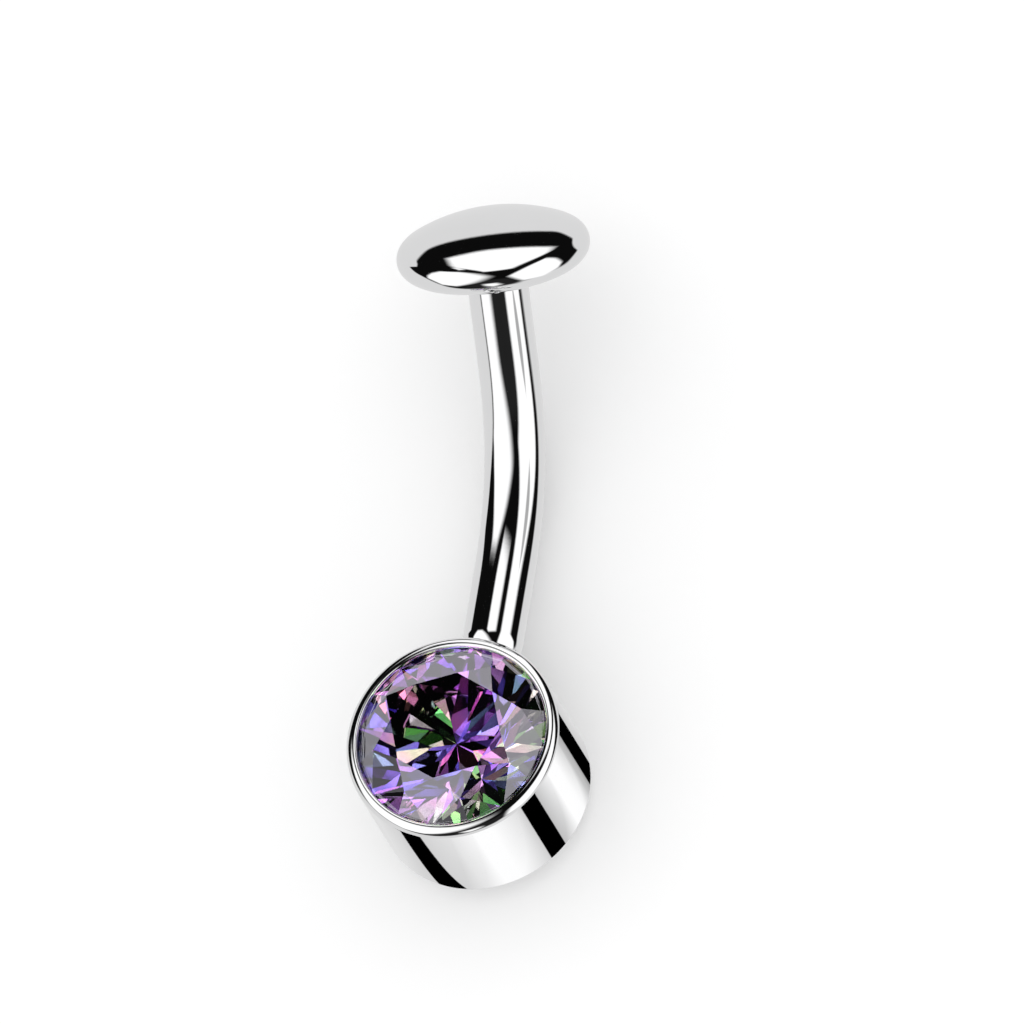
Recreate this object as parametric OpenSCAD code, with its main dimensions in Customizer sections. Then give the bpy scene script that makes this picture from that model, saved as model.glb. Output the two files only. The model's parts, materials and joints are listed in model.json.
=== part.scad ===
// A push-fit navel ring: a bent post with a fixed domed disc at one end, and a cup with a round
// brilliant whose soldered pin pushes into a bore in the post's other end. Millimetres, +Z up.
// It lies as it rests by itself, the stone upwards, on the back edge of the cup and the outside
// of the bend, with the origin under the middle of its bounding box.

/* [Post] */
// Outside diameter of the bent post
post_d = 1.6; // [1.4:0.05:2]
// Straight length between the cup and the bend
lower_len = 3.2; // [2.4:0.1:5]
// Radius of the bend, along the middle of the post
bend_r = 6.15; // [4.5:0.05:9]
// Angle of the bend
bend_a = 45; // [35:1:60]
// Straight length between the bend and the underside of the disc
upper_len = 3.15; // [1.5:0.05:5]
// Rounding of the edge at the open end of the post
end_r = 0.42; // [0.2:0.01:0.44]

/* [Disc] */
// Diameter of the domed disc
disc_d = 5.14; // [4:0.02:6.5]
// Thickness of the disc at its middle
disc_t = 1.42; // [1.2:0.02:1.9]
// Radius of the round rim of the disc
rim_r = 0.44; // [0.3:0.01:0.55]
// Radius of the cove where the post meets the disc
cove_r = 0.3; // [0.1:0.05:0.6]

/* [Stone] */
// Diameter of the stone at its girdle
stone_d = 5.2; // [4:0.1:6.5]
// Width of the octagonal table, corner to corner
table_d = 3.06; // [2.6:0.02:3.4]
// Slope of the main facets of the crown, in degrees
crown_a = 35.5; // [31:0.5:38]
// Slope of the main facets of the pavilion, in degrees
pavilion_a = 40.75; // [39:0.25:42]
// Height of the girdle
girdle_t = 0.1; // [0.06:0.01:0.2]
// Diameter of the ring on which the star facets end
star_d = 4.1; // [3.8:0.05:4.3]
// Diameter of the ring on which the lower halves of the pavilion end
halves_d = 1.2; // [0.8:0.1:1.6]
// Turn of the stone in its cup, in degrees
stone_turn = -3.4; // [-22:0.1:22]

/* [Cup] */
// Metal between the stone and the outside of the cup
cup_wall = 0.28; // [0.22:0.01:0.6]
// Metal under the stone's pocket
back_t = 0.92; // [0.5:0.01:1.5]
// Height of the lip above the girdle
lip_h = 0.15; // [0.12:0.01:0.2]
// Radius of the lip's outer edge
lip_r = 0.24; // [0.1:0.01:0.28]
// How far the lip reaches over the edge of the stone
lip_over = 0.03; // [0.01:0.01:0.08]
// Fall of the lip's inner face
lip_fall = 0.04; // [0.02:0.01:0.06]
// Clearance between the stone and its pocket
stone_gap = 0.02; // [0.01:0.01:0.05]

/* [Push fit] */
// Height of the pin above the back of the cup
pin_z = 1.36; // [1.1:0.02:1.8]
// Diameter of the soldered pin
pin_d = 0.5; // [0.4:0.02:0.6]
// Length of the pin outside the cup
pin_len = 4.7; // [3:0.1:5]
// Clearance between the pin and the wall of its bore
pin_gap = 0.05; // [0.02:0.01:0.1]
// Space left past the tip of the pin
bore_spare = 0.2; // [0.05:0.05:0.3]
// Width of the chamfer at the mouth of the bore
mouth_w = 0.04; // [0.02:0.01:0.06]
// Gap between the cup and the end of the post
seat_gap = 0.04; // [0.02:0.01:0.1]
// Turn of the post about the pin, in degrees
swivel = -4.5; // [-12:0.5:12]

/* [Resting] */
// Sideways lean at which it balances, in degrees
lean = -0.3; // [-6:0.1:6]

/* [Hidden] */
$fn = 96;
MAINS = 8;
step = 360 / MAINS;
cut = 0.5;
// The straights end inside the bend, which is a hair thicker, so that they meet cleanly
lap = 0.05;
hair = 0.001;
post_r = post_d / 2;
bent_r = post_r + hair;
bore_r = pin_d / 2 + pin_gap;
bore_len = pin_len - seat_gap + bore_spare;
disc_r = disc_d / 2;
stone_r = stone_d / 2;
pocket_r = stone_r + stone_gap;
cup_r = pocket_r + cup_wall;
lip_in_r = stone_r - lip_over;

// Heights in the stone, above its culet
halves_z = halves_d / 2 * cos(step / 2) * tan(pavilion_a);
pavilion_h = stone_r * tan(pavilion_a);
crown_h = (stone_r - table_d / 2) * tan(crown_a);
girdle_z = pavilion_h + girdle_t;
table_z = girdle_z + crown_h;
star_z = table_z - (star_d / 2 * cos(step / 2) - table_d / 2) * tan(crown_a);

// The pocket clears the pavilion edges, which stand a little outside its cone
pocket_drop = stone_gap / cos(pavilion_a) + halves_d / 2 * (1 - cos(step / 2)) * tan(pavilion_a);
culet_z = back_t + pocket_drop;
cup_h = culet_z + girdle_z + lip_h;

// Domed top of the disc: a sphere that the round rim touches from inside
rim_ring = disc_r - rim_r;
dome_rise = disc_t - rim_r;
dome_r = (rim_ring ^ 2 + dome_rise ^ 2 - rim_r ^ 2) / (2 * (dome_rise - rim_r));
dome_half = asin(rim_ring / (dome_r - rim_r));

// Ends of the post in the frame of the cup: X across, Y along the pin, Z along the stone's axis
function turned(v, a) = [v.x * cos(a) + v.z * sin(a), v.y, v.z * cos(a) - v.x * sin(a)];
post_at = [0, cup_r + seat_gap, pin_z];
bend_end = [0, lower_len + bend_r * sin(bend_a), bend_r * (1 - cos(bend_a))];
upper_dir = [0, cos(bend_a), sin(bend_a)];
disc_dir = turned(upper_dir, swivel);
rim_at = post_at + turned(bend_end + (upper_len + rim_r) * upper_dir, swivel);
dome_at = rim_at + (dome_rise - dome_r) * disc_dir;
bend_at = post_at + [0, lower_len, 0];
bend_out = turned([0, 0, 1], swivel);

// How far the cup, the bend and the disc reach in a direction
function across(c) = sqrt(max(0, 1 - c ^ 2));
function cup_reach(u) = max(
    cup_r * across(u.z),
    (cup_h - lip_r) * u.z + (cup_r - lip_r) * across(u.z) + lip_r);
function disc_reach(u) = acos(u * disc_dir) < dome_half
    ? dome_at * u + dome_r
    : rim_at * u + rim_ring * across(u * disc_dir) + rim_r;
function bend_reach(u) =
    let (out = u * bend_out, a = max(0, min(bend_a, atan2(u.y, -out))))
    bend_at * u + bend_r * (sin(a) * u.y + (1 - cos(a)) * out) + bent_r;
function reach(u) = max(cup_reach(u), bend_reach(u), disc_reach(u));

// World directions in the frame of the cup, once it is tilted towards the disc
function up_at(tilt) = [-cos(tilt) * sin(lean), -sin(tilt), cos(tilt) * cos(lean)];
function ahead_at(tilt) = [-sin(tilt) * sin(lean), cos(tilt), sin(tilt) * cos(lean)];
right = [cos(lean), 0, sin(lean)];

// The tilt at which the outside of the bend comes down to the level of the cup's back edge
function settled(low, high, rounds) =
    let (middle = (low + high) / 2, down = -up_at(middle))
    rounds == 0 ? middle :
    max(bend_reach(down), disc_reach(down)) < cup_reach(down)
        ? settled(middle, high, rounds - 1)
        : settled(low, middle, rounds - 1);
most_tilt = 60;
halvings = 40;
rest_tilt = settled(0, most_tilt, halvings);
up = up_at(rest_tilt);
ahead = ahead_at(rest_tilt);
rest_shift = [
    (reach(-right) - reach(right)) / 2,
    (reach(-ahead) - reach(ahead)) / 2,
    reach(-up)];

module resting() {
    translate(rest_shift) rotate([-rest_tilt, 0, 0]) rotate([0, lean, 0]) children();
}

// Moves to the open end of the post, with Y along the pin
module at_post() {
    translate(post_at) rotate([0, swivel, 0]) children();
}

// Stands what is drawn along Z along Y instead
module along_pin() {
    rotate([-90, 0, 0]) children();
}

module lower_straight() {
    along_pin() rotate_extrude() difference() {
        square([post_r, lower_len + lap]);
        translate([post_r - end_r, 0]) difference() {
            translate([0, -cut]) square([end_r + cut, end_r + cut]);
            translate([0, end_r]) circle(end_r);
        }
    }
}

module bend() {
    translate([0, lower_len, bend_r]) rotate([0, 90, 0])
        rotate_extrude(angle = bend_a) translate([bend_r, 0]) circle(bent_r);
}

// Section of the domed disc, its flat underside at zero, and of the cove under it
module disc_section() {
    dome_edge = [rim_ring, rim_r] + (rim_r + cut) * [sin(dome_half), cos(dome_half)];
    intersection() {
        translate([0, disc_t - dome_r]) circle(dome_r, $fn = 4 * $fn);
        polygon([[0, 0], [rim_ring, 0], [rim_ring, rim_r], dome_edge, [0, disc_t + cut]]);
    }
    translate([rim_ring, rim_r]) circle(rim_r);
    difference() {
        translate([0, -cove_r]) square([post_r + cove_r, cove_r + rim_r]);
        translate([post_r + cove_r, -cove_r]) circle(cove_r);
    }
}

module upper_straight_and_disc() {
    translate(bend_end) rotate([bend_a, 0, 0]) along_pin() {
        translate([0, 0, -lap]) cylinder(r = post_r, h = lap + upper_len);
        translate([0, 0, upper_len]) rotate_extrude() disc_section();
    }
}

module bore() {
    along_pin() {
        translate([0, 0, -cut]) cylinder(r = bore_r, h = bore_len + cut);
        cylinder(r1 = bore_r + mouth_w, r2 = bore_r, h = mouth_w);
    }
}

module curved_post() {
    color("silver") resting() at_post() difference() {
        union() {
            lower_straight();
            bend();
            upper_straight_and_disc();
        }
        bore();
    }
}

// Section of the cup, its back at zero, with the round outer edge of the lip
module cup_section() {
    difference() {
        square([cup_r, cup_h]);
        translate([cup_r - lip_r, cup_h - lip_r]) difference() {
            square(lip_r + cut);
            circle(lip_r);
        }
        pocket_section();
    }
}

// The pocket follows the pavilion, the girdle and the foot of the crown
module pocket_section() {
    seat_z = back_t + pocket_r * tan(pavilion_a);
    under_lip = culet_z + girdle_z + stone_gap;
    lip_edge = under_lip + (stone_r - lip_in_r) * tan(crown_a);
    polygon([
        [0, back_t],
        [pocket_r, seat_z],
        [pocket_r, under_lip],
        [lip_in_r, lip_edge],
        [lip_in_r, cup_h - lip_fall],
        [cup_r - lip_r, cup_h],
        [cup_r - lip_r, cup_h + cut],
        [0, cup_h + cut]]);
}

// The pin stands in the wall of the cup and ends in a round tip
module pin() {
    root = cup_wall;
    translate([0, cup_r - root, pin_z]) along_pin() {
        cylinder(d = pin_d, h = root + pin_len - pin_d / 2);
        translate([0, 0, root + pin_len - pin_d / 2]) sphere(d = pin_d);
    }
}

module bezel_cup() {
    color("silver") resting() {
        rotate_extrude() cup_section();
        pin();
    }
}

function ring(n, r, z, first) = [for (i = [0 : n - 1])
    [r * cos(first + i * 360 / n), r * sin(first + i * 360 / n), z]];

// Round brilliant: culet, lower halves, girdle, star ring and table, with flat facets
module brilliant() {
    points = concat(
        [[0, 0, 0]],
        ring(MAINS, halves_d / 2, halves_z, step / 2),
        ring(2 * MAINS, stone_r, pavilion_h, 0),
        ring(2 * MAINS, stone_r, girdle_z, 0),
        ring(MAINS, star_d / 2, star_z, step / 2),
        ring(MAINS, table_d / 2, table_z, 0));
    half = 1;
    low = half + MAINS;
    high = low + 2 * MAINS;
    star = high + 2 * MAINS;
    table = star + MAINS;
    next = function (i) (i + 1) % MAINS;
    back = function (i) (i + MAINS - 1) % MAINS;
    girdle_next = function (i) (i + 1) % (2 * MAINS);
    faces = concat(
        [for (i = [0 : MAINS - 1]) [0, half + back(i), low + 2 * i, half + i]],
        [for (i = [0 : MAINS - 1]) [half + i, low + 2 * i, low + 2 * i + 1]],
        [for (i = [0 : MAINS - 1]) [half + i, low + 2 * i + 1, low + 2 * next(i)]],
        [for (i = [0 : 2 * MAINS - 1]) [low + i, high + i, high + girdle_next(i), low + girdle_next(i)]],
        [for (i = [0 : MAINS - 1]) [star + i, high + 2 * i + 1, high + 2 * i]],
        [for (i = [0 : MAINS - 1]) [star + i, high + 2 * next(i), high + 2 * i + 1]],
        [for (i = [0 : MAINS - 1]) [table + i, star + i, high + 2 * i, star + back(i)]],
        [for (i = [0 : MAINS - 1]) [table + i, table + next(i), star + i]],
        [[for (i = [MAINS - 1 : -1 : 0]) table + i]]);
    polyhedron(points, faces);
}

module stone() {
    color("mediumpurple") resting() translate([0, 0, culet_z]) rotate([0, 0, stone_turn]) brilliant();
}

curved_post();
bezel_cup();
stone();
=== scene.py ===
"""Looks of a push-fit navel ring: a bent post with a domed disc, and a cup with a round brilliant.

Every piece is modelled in millimetres in the cup's own frame, with X across, Y along the pin and Z
along the stone's axis from the cup's flat back, and is then set in its place in metres.
"""

import json
import math
import random

import bpy
from mathutils import Matrix, Vector


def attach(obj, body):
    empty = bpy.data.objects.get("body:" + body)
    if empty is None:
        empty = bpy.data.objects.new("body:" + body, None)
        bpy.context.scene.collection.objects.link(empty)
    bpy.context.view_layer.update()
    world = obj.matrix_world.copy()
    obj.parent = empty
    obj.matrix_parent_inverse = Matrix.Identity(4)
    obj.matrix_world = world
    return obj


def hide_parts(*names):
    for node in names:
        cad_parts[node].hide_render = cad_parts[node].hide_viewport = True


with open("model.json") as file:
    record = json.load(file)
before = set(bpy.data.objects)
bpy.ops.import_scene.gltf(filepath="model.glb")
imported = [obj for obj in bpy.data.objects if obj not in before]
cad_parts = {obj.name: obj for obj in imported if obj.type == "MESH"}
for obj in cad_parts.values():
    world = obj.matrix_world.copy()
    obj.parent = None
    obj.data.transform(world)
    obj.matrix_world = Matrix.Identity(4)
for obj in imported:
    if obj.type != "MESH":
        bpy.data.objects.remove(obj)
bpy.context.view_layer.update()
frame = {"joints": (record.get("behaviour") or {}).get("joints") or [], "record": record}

MM = 0.001
X = Vector((1, 0, 0))
Y = Vector((0, 1, 0))
Z = Vector((0, 0, 1))
QUARTER = math.pi / 2

# Round forms, with the gap between a straight's end and the ring that keeps its shading true
SIDES = 128
ARC_STEPS = 12
SUPPORT = 0.02

# Post and disc
POST_R = 0.8
LOWER_LEN = 3.2
BEND_R = 6.15
BEND_A = math.radians(45)
BEND_STEPS = 28
UPPER_LEN = 3.15
SWIVEL = math.radians(-4.5)
BORE_R = 0.3
BORE_LEN = 4.86
MOUTH_W = 0.04
NOSE_A = math.acos((BORE_R + MOUTH_W) / POST_R)
NOSE_LEN = POST_R * math.sin(NOSE_A)
COVE_R = 0.3
DISC_R = 2.57
DISC_T = 1.42
RIM_R = 0.44
DOME_STEPS = 48

# The bend tightens over EASE_LEN at each end. So that both straights keep their places, its radius
# is EASE_SHIFT less than a plain bend's, and it starts EASE_LEAD earlier.
EASE_LEN = 2.2
EASE_STEPS = 16
EASE_SHIFT = EASE_LEN**2 / (24 * BEND_R)
EASE_LEAD = EASE_LEN / 2 - EASE_LEN**3 / (240 * BEND_R**2)

# Cup and pin
CUP_R = 2.9
CUP_H = 3.476
BACK_T = 0.92
BACK_EDGE = 0.02
BACK_STEPS = 4
LIP_R = 0.24
LIP_IN_R = 2.57
LIP_EDGE_R = CUP_R - LIP_R - LIP_IN_R
POCKET_R = 2.62
WALL_T = 0.28
SEAT_GAP = 0.04
PIN_R = 0.25
PIN_LEN = 4.7
SOLDER_R = 0.035

# Stone
MAINS = 8
STEP = 2 * math.pi / MAINS
STONE_R = 2.6
TABLE_R = 1.53
CROWN_A = math.radians(35.5)
PAVILION_A = math.radians(40.75)
GIRDLE_T = 0.1
STAR_R = 2.05
HALVES_R = 0.6
STONE_TURN = math.radians(-3.4)
STONE_GAP = 0.02
CULET_Z = 0.986

# Heights of the underside of the lip, over the girdle, and of the lip's inner edge
UNDER_LIP = CULET_Z + STONE_R * math.tan(PAVILION_A) + GIRDLE_T + STONE_GAP
LIP_EDGE = UNDER_LIP + (STONE_R - LIP_IN_R) * math.tan(CROWN_A)

# Points nearer than MERGE become one, and edges sharper than SHARP stay sharp in smooth shading
MERGE = 1e-5
SHARP = math.radians(14)

# Metal's finish: its colour, how dark its cloudy film gets, and what the film and the scuffs add to
# its roughness. Each SCALE here and below is the fineness of a noise on a piece, per metre.
METAL = (0.9, 0.9, 0.905)
METAL_ROUGH = 0.015
FILM_SCALE = 900
FILM_DARK = 0.965
FILM_ROUGH = 0.02
SCUFF_SCALE = 2600
SCUFF_RANGE = (0.64, 0.74)
SCUFF_ROUGH = 0.05
POLISH_SCALE = 9000
POLISH_DEPTH = 0.00002
POLISH_STRENGTH = 0.012

# A painted reflection, a dark line along the wire where a seam in the lights would show: its place
# across, its half width, how dark it is, and where it starts and ends, measured from the cup's end
# in the direction of the upper straight
LINE_X = 0.615
LINE_W = 0.04
LINE_DARK = 0.6
LINE_SPANS = ((2.0, 4.8), (6.1, 9.8))

# The crown's glass, and the clear vapour film over it
GLASS_SCALE = 700
GLASS_TINTS = ((0.93, 0.9, 0.98), (0.97, 0.95, 1.0))
GLASS_SHINE = (0.92, 0.88, 1.0, 1.0)
GLASS_ROUGH = 0.004
GLASS_IOR = 2.3
VAPOUR_TINT = (0.96, 0.94, 1.0, 1.0)
VAPOUR_IOR = 2.0

# The coating lies on each facet whose normal's Z is below COATED_Z. A pavilion facet is a main if
# it is no more than MAIN_SLACK steeper than the mains' angle. A facet's chance share of its kind's
# spread, the angle it is seen at and a drift over the stone turn the colour along COAT.
COATED_Z = -0.1
MAIN_SLACK = math.radians(0.5)
FACET_SEED = 8
MAIN_SPREAD = 0.45
HALF_SPREAD = 0.7
COAT_SCALE = 500
COAT_ROUGH = 0.02
COAT_START = -0.15
COAT_TURN = 1.0
COAT_DRIFT = 0.5
COAT = (
    (0.0, (0.35, 0.8, 0.3)), (0.1, (0.75, 0.95, 0.4)), (0.2, (1.0, 0.66, 0.5)),
    (0.32, (0.98, 0.5, 0.68)), (0.44, (0.78, 0.36, 0.75)), (0.54, (0.42, 0.34, 0.85)),
    (0.64, (0.14, 0.1, 0.3)), (0.74, (0.48, 0.45, 0.95)), (0.86, (0.78, 0.62, 1.0)),
    (1.0, (0.4, 0.8, 0.5)))

# The photograph: its width and the place of the pin's foot in pixels, its scale, and its camera's
# axes in the cup's frame. The camera stands CAMERA_AWAY millimetres off and sees as far as
# CAMERA_REACH metres.
PHOTO = 1024
SEAT_PIXEL = (488.4, 668.05)
PIXELS_PER_MM = 37.93
VIEW_RIGHT = Vector((0.9543, 0.1542, -0.2558))
VIEW_UP = Vector((-0.0358, 0.9094, 0.4144))
VIEW_BACK = Vector((0.2966, -0.3863, 0.8734))
CAMERA_AWAY = 60
CAMERA_REACH = 1

# The studio, as a mirrored ball in the jewel's place shows it to the camera. Each card has a level
# of light, how far its corners are rounded, and the corners, which run clockwise: degrees right and
# up of the camera, and the softness in degrees of the side that starts there. Cards further down
# lie over those above them.
SURROUND = 0.76
CARDS = {
    "dark_room": (0.004, 3, (
        (-111, 37, 2), (-74, 93, 1.5), (-66, 105, 1.5), (-54, 110, 1.5), (-20, 114, 1.5),
        (34, 121, 1.5), (47, 114, 1.5), (60, 101, 2), (88, 63, 2), (110, 33, 3), (107, 4, 6),
        (99, -38, 10), (45, -62, 8), (14, -82, 6), (-13, -86, 5), (-44, -77, 4), (-67, -56, 3),
        (-91, -17, 2), (-106, 8, 2))),
    "wall_left": (0.76, 0.5, (
        (-91, 54, 1.5), (-116, 33, 3), (-130, 80, 3), (-80, 112, 3), (-72, 96, 1.5))),
    "room_floor": (0.017, 1.0, (
        (-26, -20, 8), (24, -20, 8), (34, -70, 8), (-34, -70, 8))),
    "box_above": (1.15, 0.5, (
        (-47, 95, 1.5), (-20, 97.5, 1.5), (31, 106, 5), (11, 41, 5), (-17, 40, 3))),
    "box_gap": (1.0, 1.0, (
        (-43, 79, 2), (-38, 81, 2), (-34, 63, 2), (-40, 61, 2))),
    "box_left": (1.15, 0.8, (
        (-61, 46, 4), (-42, 46, 5), (-29, 35, 8), (-9, 4, 11), (-11, -8, 11), (-26, -38, 6),
        (-44, -57, 4), (-64, -51, 3), (-86, -13, 3), (-85, 4, 3), (-76, 26, 4))),
    "box_right": (1.15, 0.8, (
        (39, 62, 5), (48, 56, 4), (64, 40, 4), (78, 18, 4), (86, 0, 4), (86, -28, 6),
        (67, -56, 5), (39, -55, 5), (12, -4, 4), (15, 10, 4), (32, 42, 4))),
    "box_low": (1.15, 1.0, (
        (-11, -47, 5), (4, -45, 5), (13, -60, 6), (4, -70, 5), (-8, -60, 5))),
}

# The even light that the floor and the camera get instead of the cards
PLAIN_LIGHT = 1.12

# How unevenly the stone shows the cards, and the least and most of their light in it
GLINT_SCALE = 4
GLINT_RANGE = (0.4, 0.6)
GLINT = (0.3, 3.4)

# The card that the cup's upright wall mirrors. Each place across it is given by where the wall
# shows it, at CARD_RISE up the wall and at the back, in degrees round the cup, with its level of
# light. The card lies CARD_DROP under the back.
WALL_CARD = (
    (-150, -150, 0.76), (-128, -128, 0.8), (-111.5, -106, 0.7), (-111, -105.4, 0),
    (-100, -90, 0), (-99.5, -89.4, 0.72), (-82, -79, 0.88), (-70, -68, 1.12), (-60, -60, 1.12),
    (-43, -43, 0.76), (-41.6, -41.6, 0.7), (-41.2, -41.2, 0), (-31, -31, 0), (-30.6, -30.6, 0.6),
    (-18, -18, 1.12), (-10, -10, 1.1), (0, 0, 0.6), (4.4, 4.4, 0.42), (4.8, 4.8, 0), (17, 17, 0),
    (17.4, 17.4, 0.68), (40, 40, 0.76))
CARD_DROP = 0.3
CARD_RISE = 4.2

# The floor's size in metres, its two shades of pale, and its roughness
FLOOR_SIZE = 2
PAPER_SCALE = 60
PAPER = ((0.93, 0.93, 0.93), (0.96, 0.96, 0.96))
PAPER_ROUGH = 0.9
PAPER_GRAIN = 0.05

mounts = {mount["name"]: mount for mount in frame["record"]["mounts"]}
pull = next(joint for joint in frame["joints"] if joint["name"] == "pin_pull")


def cup_to_row():
    """Turns millimetres in the cup's frame into metres in the row's frame."""
    along = -Vector(pull["axis"]).normalized()
    upward = -Vector(mounts["cup_back"]["axis"]).normalized()
    across = along.cross(upward).normalized()
    turn = Matrix((across, along, upward)).transposed().to_4x4()
    return Matrix.Translation(mounts["cup_back"]["pos_m"]) @ turn @ Matrix.Scale(MM, 4)


# The way from the cup's frame to the row's, its turn alone, and places in the cup's frame
TO_ROW = cup_to_row()
TURN = TO_ROW.to_3x3().normalized()
PIN_Z = (TO_ROW.inverted() @ Vector(mounts["piercing_shaft"]["pos_m"])).z
POST_AT = Vector((0, CUP_R + SEAT_GAP, PIN_Z))


def pick(piece):
    """Selects one piece and nothing else."""
    bpy.ops.object.select_all(action="DESELECT")
    piece.select_set(True)
    bpy.context.view_layer.objects.active = piece


class Turned:
    """A round piece drawn out of one filled circle, ring by ring, about an axis."""

    def __init__(self, name, radius, centre, along):
        bpy.ops.object.select_all(action="DESELECT")
        self.centre = Vector(centre)
        self.along = Vector(along)
        self.radius = radius
        turn = self.along.to_track_quat("Z", "X").to_euler()
        bpy.ops.mesh.primitive_circle_add(
            vertices=SIDES, radius=radius, fill_type="NGON", location=centre, rotation=turn)
        self.piece = bpy.context.object
        self.piece.name = self.piece.data.name = name
        bpy.ops.object.transform_apply(location=True, rotation=True, scale=True)
        bpy.ops.object.mode_set(mode="EDIT")
        bpy.ops.mesh.select_all(action="SELECT")

    def ring(self, radius, move=0.0):
        """Extrudes the end ring along the axis and brings it to a radius."""
        shift = self.along * move
        bpy.ops.mesh.extrude_region_move(TRANSFORM_OT_translate={"value": shift})
        self.centre += shift
        size = radius / self.radius
        bpy.ops.transform.resize(value=(size, size, size), center_override=self.centre)
        self.radius = radius

    def straight(self, length):
        """Draws a straight with a support ring near each end, so that its shading stays true."""
        self.ring(self.radius, SUPPORT)
        self.ring(self.radius, length - 2 * SUPPORT)
        self.ring(self.radius, SUPPORT)

    def rounded(self, radius, start, end, steps=ARC_STEPS):
        """Follows an arc of a radius in the profile, from one angle to another."""
        out, up = radius * math.cos(start), radius * math.sin(start)
        for i in range(1, steps + 1):
            angle = start + (end - start) * i / steps
            next_out, next_up = radius * math.cos(angle), radius * math.sin(angle)
            self.ring(self.radius + next_out - out, next_up - up)
            out, up = next_out, next_up

    def bent(self, radius, angle, axis, steps):
        """Spins the end ring about a hub at a radius from it, anticlockwise about an axis."""
        hub = self.centre + axis.cross(self.along) * radius
        bpy.ops.mesh.spin(steps=steps, angle=angle, center=hub, axis=-axis)
        turn = Matrix.Rotation(angle, 3, axis)
        self.centre = hub + turn @ (self.centre - hub)
        self.along = turn @ self.along

    def eased_bend(self, radius, angle, axis):
        """Bends the round, tightening slowly to a radius and easing off as slowly."""
        parts = [(i + 0.5) / EASE_STEPS for i in range(EASE_STEPS)]
        step = EASE_LEN / EASE_STEPS
        for part in parts:
            self.bent(radius / part, step * part / radius, axis, 1)
        self.bent(radius, angle - EASE_LEN / radius, axis, BEND_STEPS)
        for part in reversed(parts):
            self.bent(radius / part, step * part / radius, axis, 1)

    def finish(self, move):
        """Closes the end in a point a little further on, and smooths all but the sharp edges."""
        shift = self.along * move
        bpy.ops.mesh.extrude_region_move(TRANSFORM_OT_translate={"value": shift})
        bpy.ops.mesh.merge(type="CENTER")
        close_up()
        pick(self.piece)
        bpy.ops.object.shade_smooth_by_angle(angle=SHARP)


def close_up():
    """Merges doubles, points the faces outwards and leaves edit mode."""
    bpy.ops.mesh.select_all(action="SELECT")
    bpy.ops.mesh.remove_doubles(threshold=MERGE)
    bpy.ops.mesh.normals_make_consistent(inside=False)
    bpy.ops.object.mode_set(mode="OBJECT")


def set_in_place(piece, body, nodes):
    """Sets a piece modelled in the cup's frame in its place, riding on its body."""
    piece.matrix_world = TO_ROW
    pick(piece)
    bpy.ops.object.transform_apply(location=True, rotation=True, scale=True)
    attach(piece, body)
    if nodes:
        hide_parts(*nodes)


def curved_post():
    """The bent post from the bottom of its bore to the top of its disc, drawn as one piece."""
    # The dome touches the rounded rim, which gives the dome's radius and half its angle
    rim_ring = DISC_R - RIM_R
    rise = DISC_T - RIM_R
    dome_r = (rim_ring**2 + rise**2 - RIM_R**2) / (2 * (rise - RIM_R))
    dome_half = math.asin(rim_ring / (dome_r - RIM_R))
    tip = dome_half / DOME_STEPS / 2
    post = Turned("post_and_disc", BORE_R, (0, BORE_LEN, 0), -Y)
    post.straight(BORE_LEN - MOUTH_W)
    post.ring(BORE_R + MOUTH_W, MOUTH_W)
    # Out of the bore, the outside is drawn the other way
    post.along = Y.copy()
    post.rounded(POST_R, -NOSE_A, 0, 2 * ARC_STEPS)
    post.straight(LOWER_LEN - NOSE_LEN - EASE_LEAD)
    post.eased_bend(BEND_R - EASE_SHIFT, BEND_A, X)
    post.straight(UPPER_LEN - COVE_R - EASE_LEAD)
    post.rounded(COVE_R, math.pi, QUARTER)
    post.ring(post.radius + SUPPORT)
    post.ring(rim_ring - SUPPORT)
    post.ring(rim_ring)
    post.rounded(RIM_R, -QUARTER, QUARTER - dome_half, 3 * ARC_STEPS)
    post.rounded(dome_r, QUARTER - dome_half, QUARTER - tip, DOME_STEPS)
    post.finish(dome_r * (1 - math.cos(tip)))
    post.piece.data.transform(Matrix.Translation(POST_AT) @ Matrix.Rotation(SWIVEL, 4, Y))
    return post.piece


def bezel_cup():
    """The cup from the middle of its back, over its rolled lip, to the bottom of its pocket."""
    cone_h = POCKET_R * math.tan(PAVILION_A)
    cup = Turned("rolled_cup", CUP_R - BACK_EDGE - SUPPORT, (0, 0, 0), Z)
    cup.ring(CUP_R - BACK_EDGE)
    cup.rounded(BACK_EDGE, -QUARTER, 0, BACK_STEPS)
    cup.straight(CUP_H - LIP_R - BACK_EDGE)
    cup.rounded(LIP_R, 0, QUARTER)
    cup.rounded(LIP_EDGE_R, QUARTER, math.pi)
    cup.ring(LIP_IN_R, LIP_EDGE - CUP_H + LIP_EDGE_R)
    cup.ring(POCKET_R, UNDER_LIP - LIP_EDGE)
    cup.ring(POCKET_R, BACK_T + cone_h - UNDER_LIP)
    cup.finish(-cone_h)
    return cup.piece


def soldered_pin():
    """The thin pin, from inside the cup's wall to its round tip, with a hollow collar of solder."""
    tip = QUARTER / ARC_STEPS
    pin = Turned("pin", PIN_R + SOLDER_R, (0, CUP_R - WALL_T, PIN_Z), Y)
    pin.ring(PIN_R + SOLDER_R, WALL_T)
    pin.rounded(SOLDER_R, -QUARTER, -math.pi)
    pin.straight(PIN_LEN - PIN_R - SOLDER_R)
    pin.rounded(PIN_R, 0, QUARTER - tip)
    pin.finish(PIN_R * (1 - math.cos(tip)))
    return pin.piece


def around(radius, height, turns):
    """A point at a radius and a height, some steps of the stone's eight round its axis."""
    angle = turns * STEP
    return Vector((radius * math.cos(angle), radius * math.sin(angle), height))


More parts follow.
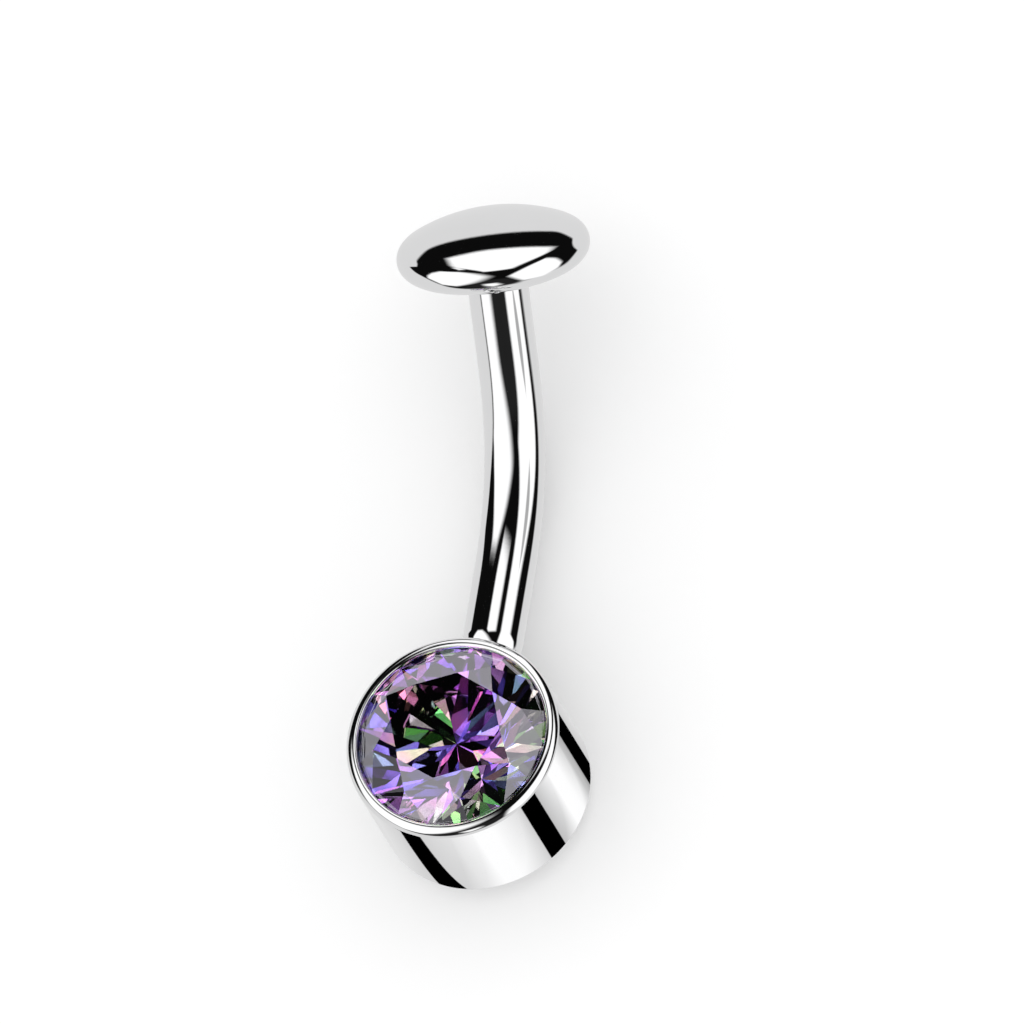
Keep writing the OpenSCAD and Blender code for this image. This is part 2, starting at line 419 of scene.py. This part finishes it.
def facets():
    """Three points of each facet's plane, in the order of cutting."""
    pavilion_h = STONE_R * math.tan(PAVILION_A)
    girdle_z = pavilion_h + GIRDLE_T
    table_z = girdle_z + (STONE_R - TABLE_R) * math.tan(CROWN_A)
    star_z = table_z - (STAR_R * math.cos(STEP / 2) - TABLE_R) * math.tan(CROWN_A)
    halves_z = HALVES_R * math.cos(STEP / 2) * math.tan(PAVILION_A)
    culet = Vector((0, 0, 0))
    yield [around(TABLE_R, table_z, i) for i in range(3)]
    for i in range(MAINS):
        corner, next_corner = [around(TABLE_R, table_z, i + k) for k in (0, 1)]
        last_star, next_star = [around(STAR_R, star_z, i + k) for k in (-0.5, 0.5)]
        last_half, next_half = [around(HALVES_R, halves_z, i + k) for k in (-0.5, 0.5)]
        low = [around(STONE_R, pavilion_h, i + k) for k in (0, 0.5, 1)]
        high = [around(STONE_R, girdle_z, i + k) for k in (0, 0.5, 1)]
        pavilion_main = culet, last_half, next_half
        crown_main = corner, last_star, next_star
        lower_halves = (next_half, low[0], low[1]), (next_half, low[1], low[2])
        upper_halves = (next_star, high[0], high[1]), (next_star, high[1], high[2])
        star = corner, next_corner, next_star
        yield from (pavilion_main, crown_main, *lower_halves, *upper_halves, star)


def stone():
    """The round brilliant, cut facet by facet out of a round blank."""
    blank_h = 2 * STONE_R
    bpy.ops.object.select_all(action="DESELECT")
    bpy.ops.mesh.primitive_cylinder_add(
        vertices=SIDES, radius=STONE_R, depth=blank_h, location=(0, 0, blank_h / 2))
    piece = bpy.context.object
    piece.name = piece.data.name = "cut_stone"
    bpy.ops.object.transform_apply(location=True, rotation=True, scale=True)
    bpy.ops.object.mode_set(mode="EDIT")
    # A point inside, to tell the outer side of a facet
    middle = Vector((0, 0, STONE_R * math.tan(PAVILION_A)))
    for a, b, c in facets():
        out = (b - a).cross(c - a).normalized()
        if out.dot(a - middle) < 0:
            out.negate()
        bpy.ops.mesh.select_all(action="SELECT")
        bpy.ops.mesh.bisect(
            plane_co=a, plane_no=out, use_fill=True, clear_outer=True, threshold=MERGE)
    close_up()
    piece.data.transform(Matrix.Translation((0, 0, CULET_Z)) @ Matrix.Rotation(STONE_TURN, 4, Z))
    chance = random.Random(FACET_SEED)
    facet = piece.data.attributes.new("facet", "FLOAT", "FACE")
    for face in piece.data.polygons:
        face.material_index = int(face.normal.z < COATED_Z)
        is_main = face.normal.z < -math.cos(PAVILION_A + MAIN_SLACK)
        spread = MAIN_SPREAD if is_main else HALF_SPREAD
        facet.data[face.index].value = chance.random() * spread
    return piece


class Number:
    """A socket's value. Arithmetic on it adds Math nodes to its graph."""

    def __init__(self, graph, socket):
        self.graph = graph
        self.socket = socket

    def __add__(self, other):
        return self.graph.math("ADD", self, other)

    def __radd__(self, other):
        return self.graph.math("ADD", other, self)

    def __sub__(self, other):
        return self.graph.math("SUBTRACT", self, other)

    def __rsub__(self, other):
        return self.graph.math("SUBTRACT", other, self)

    def __mul__(self, other):
        return self.graph.math("MULTIPLY", self, other)

    def __rmul__(self, other):
        return self.graph.math("MULTIPLY", other, self)


class Graph:
    """The nodes of one material or world."""

    def __init__(self, owner):
        owner.use_nodes = True
        self.tree = owner.node_tree
        self.tree.nodes.clear()

    def node(self, kind, settings=None, sockets=None, output=0):
        """Adds a node, sets its settings, then its sockets, and gives one of its outputs."""
        node = self.tree.nodes.new("ShaderNode" + kind)
        for name, value in (settings or {}).items():
            if name == "stops":
                ramp = node.color_ramp.elements
                while len(ramp) < len(value):
                    ramp.new(0)
                for stop, (position, colour) in zip(ramp, value):
                    stop.position = position
                    stop.color = (*colour, 1)
            else:
                setattr(node, name, value)
        for name, value in (sockets or {}).items():
            if isinstance(value, Number):
                self.tree.links.new(value.socket, node.inputs[name])
            else:
                node.inputs[name].default_value = value
        return Number(self, node.outputs[output]) if node.outputs else None

    def mix(self, factor, first, second):
        """A colour part of the way from one colour to another."""
        ends = [value if isinstance(value, Number) else (*value, 1) for value in (first, second)]
        return self.node("Mix", {"data_type": "RGBA"}, {0: factor, 6: ends[0], 7: ends[1]}, 2)

    def math(self, operation, *values):
        """A Math node on up to three values."""
        return self.node("Math", {"operation": operation}, dict(enumerate(values)))

    def vector(self, operation, *values, output=0):
        """A Vector Math node on up to three vectors."""
        return self.node("VectorMath", {"operation": operation}, dict(enumerate(values)), output)

    def dot(self, a, b):
        """The dot product of two vectors."""
        return self.vector("DOT_PRODUCT", a, b, output="Value")

    def fade(self, value, low, high):
        """0 below one value, 1 above another and smooth between them."""
        return self.node("MapRange", {"interpolation_type": "SMOOTHSTEP"},
                         {"Value": value, "From Min": low, "From Max": high})

    def noise(self, scale, detail, where):
        """A noise's value on a position."""
        return self.node("TexNoise", None, {"Vector": where, "Scale": scale, "Detail": detail})

    def position(self):
        """The position on the piece, in metres."""
        return self.node("TexCoord", output="Object")


def painted_seam_reflection(g, where):
    """1 in the line painted on the post as a seam's reflection, widest in the middle of each span.
    """
    swivel = TURN @ Matrix.Rotation(SWIVEL, 3, Y)
    start = TO_ROW @ POST_AT
    side = swivel @ X / MM
    along = swivel @ Matrix.Rotation(BEND_A, 3, X) @ Y / MM
    off = g.math("ABSOLUTE", g.dot(where, side) - start.dot(side) - LINE_X)
    length = g.dot(where, along) - start.dot(along)
    masks = []
    for low, high in LINE_SPANS:
        part = (length - (low + high) / 2) * (2 / (high - low))
        masks.append(g.fade((1 - part * part) * LINE_W - off, 0, LINE_W / 2))
    return masks[0] + masks[1]


def metal(name, painted_reflection=None):
    """A mirror polish with polishing lines, a cloudy film, small scuffs and any dark painted
    reflection.
    """
    material = bpy.data.materials.new(name)
    g = Graph(material)
    where = g.position()
    cloud = g.noise(FILM_SCALE, 3, where)
    fine = g.noise(POLISH_SCALE, 2, where)
    scuffs = g.fade(g.noise(SCUFF_SCALE, 4, where), *SCUFF_RANGE) * SCUFF_ROUGH
    film = g.mix(cloud, METAL, [part * FILM_DARK for part in METAL])
    # Painted reflection: a dark line painted into the colour where a seam in the lights would show
    if painted_reflection:
        film = g.mix(painted_reflection(g, where) * LINE_DARK, film, (0, 0, 0))
    lines = g.node("Bump", None, {
        "Strength": POLISH_STRENGTH, "Distance": POLISH_DEPTH, "Height": fine})
    shader = g.node("BsdfPrincipled", None, {
        "Base Color": film, "Metallic": 1.0,
        "Roughness": METAL_ROUGH + cloud * FILM_ROUGH + scuffs, "Normal": lines})
    g.node("OutputMaterial", None, {"Surface": shader})
    return material


def crown_glass():
    """The clear crown and girdle of the stone, faintly tinted, under a glossy vapour film."""
    material = bpy.data.materials.new("clear_crown")
    g = Graph(material)
    cloud = g.noise(GLASS_SCALE, 2, g.position())
    shader = g.node("BsdfPrincipled", None, {
        "Base Color": g.mix(cloud, *GLASS_TINTS), "Roughness": cloud * GLASS_ROUGH,
        "IOR": GLASS_IOR, "Transmission Weight": 1.0, "Specular Tint": GLASS_SHINE,
        "Coat Weight": 1.0, "Coat IOR": VAPOUR_IOR, "Coat Roughness": 0.0,
        "Coat Tint": VAPOUR_TINT})
    g.node("OutputMaterial", None, {"Surface": shader})
    return material


def coated_pavilion():
    """The thin coating under the stone, its colour turning with the angle and by the facet."""
    material = bpy.data.materials.new("coated_pavilion")
    g = Graph(material)
    facing = g.node("LayerWeight", None, {"Blend": 0.5}, "Facing")
    facet = g.node("Attribute", {"attribute_name": "facet"}, None, "Fac")
    drift = g.noise(COAT_SCALE, 1, g.position())
    turn = COAT_START + facing * COAT_TURN + facet + (drift - 0.5) * COAT_DRIFT
    colour = g.node("ValToRGB", {"stops": COAT}, {"Fac": turn})
    shader = g.node("BsdfPrincipled", None, {
        "Base Color": colour, "Metallic": 1.0, "Roughness": COAT_ROUGH})
    g.node("OutputMaterial", None, {"Surface": shader})
    return material


def card(g, point, corners, rounding):
    """1 inside a card seen from the jewel, 0 outside, with rounded corners.

    Each side fades from its softness outside the card to its softness inside.
    """
    inside = None
    for (x, y, soft), (next_x, next_y, _) in zip(corners, corners[1:] + corners[:1]):
        inward = Vector((next_y - y, x - next_x, 0)).normalized() / soft
        depth = g.dot(point, inward) - inward.dot(Vector((x, y, 0)))
        inside = g.math("SMOOTH_MIN", inside, depth, rounding) if inside else depth
    return g.fade(inside, -1, 1)


def studio():
    """Plain soft light for the floor, and the cards that metal and stone mirror."""
    world = bpy.data.worlds.new("studio")
    world.cycles.sampling_method = "NONE"
    bpy.context.scene.world = world
    g = Graph(world)
    # The direction that light comes from, in degrees right and up of the camera
    way = g.node("TexCoord", output="Generated")
    across, upward, toward = [g.dot(way, TURN @ axis) for axis in (VIEW_RIGHT, VIEW_UP, VIEW_BACK)]
    flat = g.vector("NORMALIZE", g.node("CombineXYZ", None, {"X": across, "Y": upward}))
    angle = g.math("ARCCOSINE", toward) * math.degrees(1)
    point = g.node("VectorMath", {"operation": "SCALE"}, {0: flat, "Scale": angle})
    light = SURROUND
    for level, rounding, corners in CARDS.values():
        light = light + card(g, point, corners, rounding) * (level - light)
    # Through the stone, the cards show brighter and darker by turns
    share = g.fade(g.noise(GLINT_SCALE, 1, way), *GLINT_RANGE)
    glint = share * (GLINT[1] - GLINT[0]) + GLINT[0]
    in_stone = g.node("LightPath", output="Is Transmission Ray")
    light = light * (1 + in_stone * (glint - 1))
    # The camera and the floor get the even light
    camera = g.node("LightPath", output="Is Camera Ray")
    diffuse = g.node("LightPath", output="Is Diffuse Ray")
    cards = g.node("Background", None, {"Color": (1, 1, 1, 1), "Strength": light})
    plain = g.node("Background", None, {"Color": (1, 1, 1, 1), "Strength": PLAIN_LIGHT})
    seen = g.node("MixShader", None, {0: g.math("MAXIMUM", camera, diffuse), 1: cards, 2: plain})
    g.node("OutputWorld", None, {"Surface": seen})


def mirrored(azimuth, height):
    """Where the camera's ray comes down on the wall's card, off a place on the cup's wall."""
    turn = math.radians(azimuth)
    out = Vector((math.cos(turn), math.sin(turn), 0))
    way = 2 * out.dot(VIEW_BACK) * out - VIEW_BACK
    place = out * CUP_R + Z * height
    return place - way * ((height + CARD_DROP) / way.z)


def wall_card():
    """A glowing card under the cup, which only mirrors see, dark in a stripe at each gap."""
    bpy.ops.object.select_all(action="DESELECT")
    bpy.ops.mesh.primitive_grid_add(x_subdivisions=len(WALL_CARD) - 1, y_subdivisions=1)
    card_piece = bpy.context.object
    card_piece.name = card_piece.data.name = "wall_card"
    level = card_piece.data.attributes.new("level", "FLOAT", "POINT")
    for i, (at_lip, at_back, value) in enumerate(WALL_CARD):
        for row, (azimuth, height) in enumerate(((at_back, 0), (at_lip, CARD_RISE))):
            index = row * len(WALL_CARD) + i
            card_piece.data.vertices[index].co = TO_ROW @ mirrored(azimuth, height)
            level.data[index].value = value
    material = bpy.data.materials.new("glowing_card")
    g = Graph(material)
    # The card is a light: it glows at each place's level and gives none at the stripes
    shader = g.node("Emission", None, {
        "Color": g.node("Attribute", {"attribute_name": "level"}, None, "Color")})
    g.node("OutputMaterial", None, {"Surface": shader})
    card_piece.data.materials.append(material)
    card_piece.visible_camera = False
    card_piece.visible_diffuse = False
    card_piece.visible_shadow = False
    card_piece.visible_transmission = False


def pale_floor():
    """A wide pale floor that gives no reflections of its own edge."""
    bpy.ops.object.select_all(action="DESELECT")
    bpy.ops.mesh.primitive_plane_add(size=FLOOR_SIZE, location=(0, 0, 0))
    floor = bpy.context.object
    floor.name = floor.data.name = "pale_floor"
    floor.visible_glossy = False
    material = bpy.data.materials.new("pale_paper")
    g = Graph(material)
    shade = g.noise(PAPER_SCALE, 2, g.position())
    shader = g.node("BsdfPrincipled", None, {
        "Base Color": g.mix(shade, *PAPER),
        "Roughness": PAPER_ROUGH + shade * PAPER_GRAIN, "Specular IOR Level": 0.0})
    g.node("OutputMaterial", None, {"Surface": shader})
    floor.data.materials.append(material)


def photo_camera():
    """A camera at the photograph's angle, with no perspective."""
    turn = TURN @ Matrix((VIEW_RIGHT, VIEW_UP, VIEW_BACK)).transposed()
    shift = Vector((PHOTO / 2 - SEAT_PIXEL[0], SEAT_PIXEL[1] - PHOTO / 2,
                    CAMERA_AWAY * PIXELS_PER_MM))
    seat = TO_ROW @ Vector((0, CUP_R, PIN_Z))
    spot = seat + turn @ shift * MM / PIXELS_PER_MM
    data = bpy.data.cameras.new("photo_camera")
    data.type = "ORTHO"
    data.ortho_scale = PHOTO / PIXELS_PER_MM * MM
    data.clip_start = MM
    data.clip_end = CAMERA_REACH
    camera = bpy.data.objects.new("photo_camera", data)
    bpy.context.scene.collection.objects.link(camera)
    camera.matrix_world = Matrix.Translation(spot) @ turn.to_4x4()
    bpy.context.scene.camera = camera


def jewel():
    """Makes each piece, gives it its materials and sets it in its place."""
    # The post's steel has a dark line painted in as a reflection of a seam in the lights
    steel = metal("polished_steel", painted_seam_reflection)
    plate = metal("polished_cup")
    for make, body, slot, nodes, materials in (
            (curved_post, "post", "post_metal", ["curved_post"], [steel]),
            (bezel_cup, "setting", "cup_metal", ["bezel_cup"], [plate]),
            (soldered_pin, "setting", "cup_metal", [], [plate]),
            (stone, "setting", "cut_stone", ["stone"], [crown_glass(), coated_pavilion()])):
        piece = make()
        for material in materials:
            piece.data.materials.append(material)
        set_in_place(piece, body, nodes)


jewel()
photo_camera()
pale_floor()
wall_card()
studio()
bpy.context.scene.view_settings.view_transform = "Standard"
